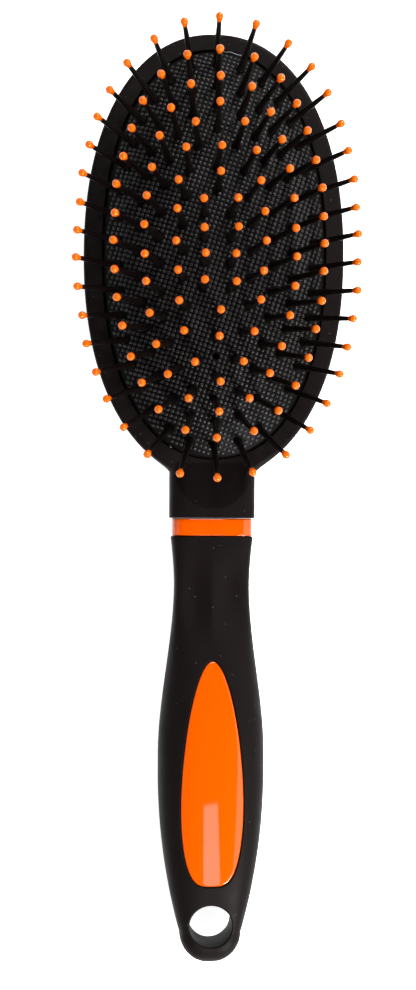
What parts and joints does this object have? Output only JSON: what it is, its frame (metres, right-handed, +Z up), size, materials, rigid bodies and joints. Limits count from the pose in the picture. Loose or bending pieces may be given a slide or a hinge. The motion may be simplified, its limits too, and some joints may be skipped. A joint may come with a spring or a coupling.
{
  "type": "paddle brush",
  "caption": "Oval cushion hairbrush: domed rubber pad with rows of ball-tipped pins, straight neck with a coloured collar, waisted handle with a drop-shaped inlay and a hanging hole.",
  "frame": {"origin": "on the table under the middle of the brush, which lies on its back with its pins up", "axes": "+Y from the handle towards the head's tip, +Z up along the pins, +X to the right as the pins are looked at"},
  "size_m": [0.0718, 0.24, 0.0414],
  "materials": {
    "soft_black": "satin soft-touch coat",
    "pad_rubber": "satin, fine raised dots",
    "pin_nylon": "satin",
    "tip_orange": "gloss",
    "gloss_orange": "gloss",
    "glue": "dull"
  },
  "bodies": {
    "brush": {"head_shell": "soft_black", "cushion_pad": "pad_rubber", "pad_adhesive": "glue", "collar_ring": "gloss_orange", "handle_body": "soft_black", "handle_inlay": "gloss_orange"},
    "row_1": {"pins_row_1": "pin_nylon", "pin_tips_row_1": "tip_orange"},
    "row_2": {"pins_row_2": "pin_nylon", "pin_tips_row_2": "tip_orange"},
    "row_3": {"pins_row_3": "pin_nylon", "pin_tips_row_3": "tip_orange"},
    "row_4": {"pins_row_4": "pin_nylon", "pin_tips_row_4": "tip_orange"},
    "row_5": {"pins_row_5": "pin_nylon", "pin_tips_row_5": "tip_orange"}
  },
  "joints": [
    {"name": "row_5_press", "type": "slide", "parent": "brush", "child": "row_5", "axis": [0, 0, -1], "range_m": [0, 0.004], "stiffness_N_per_m": 600, "deforming": ["cushion_pad"]},
    {"name": "row_4_press", "type": "slide", "parent": "brush", "child": "row_4", "axis": [0, 0, -1], "range_m": [0, 0.00368], "stiffness_N_per_m": 600},
    {"name": "row_3_press", "type": "slide", "parent": "brush", "child": "row_3", "axis": [0, 0, -1], "range_m": [0, 0.0032], "stiffness_N_per_m": 650},
    {"name": "row_2_press", "type": "slide", "parent": "brush", "child": "row_2", "axis": [0, 0, -1], "range_m": [0, 0.00257], "stiffness_N_per_m": 700},
    {"name": "row_1_press", "type": "slide", "parent": "brush", "child": "row_1", "axis": [0, 0, -1], "range_m": [0, 0.00139], "stiffness_N_per_m": 700}
  ],
  "couplings": [
    {"joint": "row_4_press", "follows": "row_5_press", "ratio": 0.9181},
    {"joint": "row_3_press", "follows": "row_5_press", "ratio": 0.7994},
    {"joint": "row_2_press", "follows": "row_5_press", "ratio": 0.6404},
    {"joint": "row_1_press", "follows": "row_5_press", "ratio": 0.3455}
  ]
}
